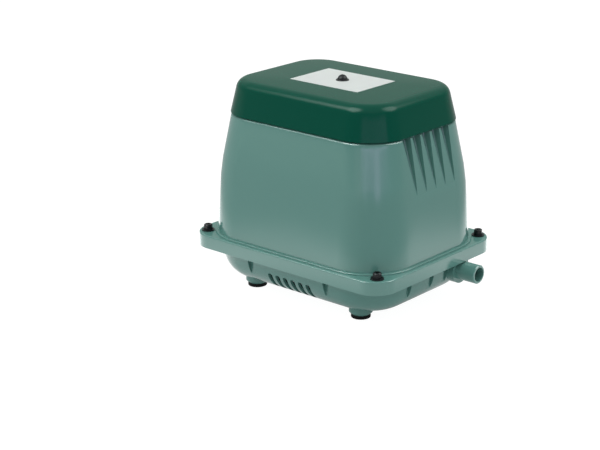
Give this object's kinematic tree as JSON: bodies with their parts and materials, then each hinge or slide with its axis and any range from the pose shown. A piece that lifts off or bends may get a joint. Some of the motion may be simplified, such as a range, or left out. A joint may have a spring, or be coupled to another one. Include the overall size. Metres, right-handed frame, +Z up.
{
  "type": "linear air pump",
  "caption": "Linear diaphragm air pump: tapered die-cast housing on rubber feet, lift-off filter cover, hose outlet, electromagnet-driven armature inside.",
  "frame": {"origin": "on the floor under the middle of the whole pump, feet plane at z = 0", "axes": "+X along the long side towards the outlet, +Y to the back, +Z up"},
  "size_m": [0.2644, 0.191, 0.2218],
  "materials": {
    "housing_paint": "semi-gloss light grey-green enamel",
    "cover_plastic": "satin dark green moulding",
    "label_plate": "plain white plate",
    "black_steel": "black oxide",
    "rubber": "black rubber",
    "gasket": "grey rubber sheet",
    "steel": "zinc plated",
    "cast_aluminium": "as cast",
    "frame_steel": "zinc plated sheet",
    "core_steel": "laminated, lacquered",
    "coil_wire": "enamelled copper wire",
    "bobbin_nylon": "natural nylon",
    "magnet": "ferrite",
    "switch_plastic": "black moulding",
    "lever_steel": "spring steel",
    "filter_foam": "open-cell foam"
  },
  "bodies": {
    "housing": {"upper_housing": "housing_paint", "lower_housing": "housing_paint", "outlet_pipe": "housing_paint", "housing_screws": "black_steel", "spring_washers": "black_steel", "plain_washers": "black_steel", "foot_front_left": "rubber", "foot_front_right": "rubber", "foot_rear_left": "rubber", "foot_rear_right": "rubber", "cord_gland": "rubber", "rubber_mounts": "rubber", "sleeve_left": "rubber", "sleeve_right": "rubber", "diaphragm_left": "rubber", "diaphragm_right": "rubber", "outlet_seal": "rubber", "housing_gasket": "gasket", "tank_gasket": "gasket", "head_gasket_left": "gasket", "head_gasket_right": "gasket", "foot_screws": "steel", "tank_screws": "steel", "mount_screws": "steel", "core_bolts": "steel", "head_screws": "steel", "sleeve_clamps": "steel", "air_tank": "cast_aluminium", "tank_lid": "cast_aluminium", "diaphragm_casing_left": "cast_aluminium", "diaphragm_casing_right": "cast_aluminium", "head_block_left": "cast_aluminium", "head_block_right": "cast_aluminium", "head_cover_left": "cast_aluminium", "head_cover_right": "cast_aluminium", "pump_frame": "frame_steel", "core_front": "core_steel", "core_rear": "core_steel", "coil_front": "coil_wire", "coil_rear": "coil_wire", "bobbin_front": "bobbin_nylon", "bobbin_rear": "bobbin_nylon", "terminal_block": "bobbin_nylon", "stop_switch": "switch_plastic"},
    "armature": {"armature_rod_left": "steel", "armature_rod_right": "steel", "magnet_holder": "cast_aluminium", "magnets": "magnet", "centre_plates": "cast_aluminium", "rod_nuts": "steel", "trip_arm": "bobbin_nylon"},
    "cover": {"filter_cover": "cover_plastic", "cover_label": "label_plate"},
    "cover_screw": {"cover_screw": "black_steel"},
    "filter": {"filter_element": "filter_foam"},
    "intake_valve_left": {"intake_valve_left": "rubber"},
    "intake_valve_right": {"intake_valve_right": "rubber"},
    "exhaust_valve_left": {"exhaust_valve_left": "rubber"},
    "exhaust_valve_right": {"exhaust_valve_right": "rubber"},
    "stop_lever": {"stop_lever": "lever_steel"}
  },
  "joints": [
    {"name": "cover_lift", "type": "slide", "parent": "housing", "child": "cover", "axis": [0, 0, 1], "range_m": [0, 0.1]},
    {"name": "cover_screw_turn", "type": "hinge", "parent": "cover", "child": "cover_screw", "pos_m": [-0.00825, 0, 0.216], "axis": [0, 0, 1], "continuous": true},
    {"name": "filter_lift", "type": "slide", "parent": "housing", "child": "filter", "axis": [0, 0, 1], "range_m": [0, 0.05]},
    {"name": "armature_slide", "type": "slide", "parent": "housing", "child": "armature", "axis": [1, 0, 0], "range_m": [-0.003, 0.003], "stiffness_N_per_m": 8000, "deforming": ["diaphragm_left", "diaphragm_right"]},
    {"name": "intake_valve_right_lift", "type": "slide", "parent": "housing", "child": "intake_valve_right", "axis": [-1, 0, 0], "range_m": [0, 0.0015], "stiffness_N_per_m": 60},
    {"name": "intake_valve_left_lift", "type": "slide", "parent": "housing", "child": "intake_valve_left", "axis": [1, 0, 0], "range_m": [0, 0.0015], "stiffness_N_per_m": 60},
    {"name": "exhaust_valve_right_lift", "type": "slide", "parent": "housing", "child": "exhaust_valve_right", "axis": [1, 0, 0], "range_m": [0, 0.0015], "stiffness_N_per_m": 60},
    {"name": "exhaust_valve_left_lift", "type": "slide", "parent": "housing", "child": "exhaust_valve_left", "axis": [-1, 0, 0], "range_m": [0, 0.0015], "stiffness_N_per_m": 60},
    {"name": "stop_lever_swing", "type": "hinge", "parent": "housing", "child": "stop_lever", "pos_m": [-0.03925, 0, 0.1373], "axis": [0, 1, 0], "range_deg": [0, 8], "stiffness_Nm_per_rad": 0.02}
  ],
  "couplings": [
    {"joint": "filter_lift", "follows": "cover_lift", "ratio": 0.5}
  ]
}
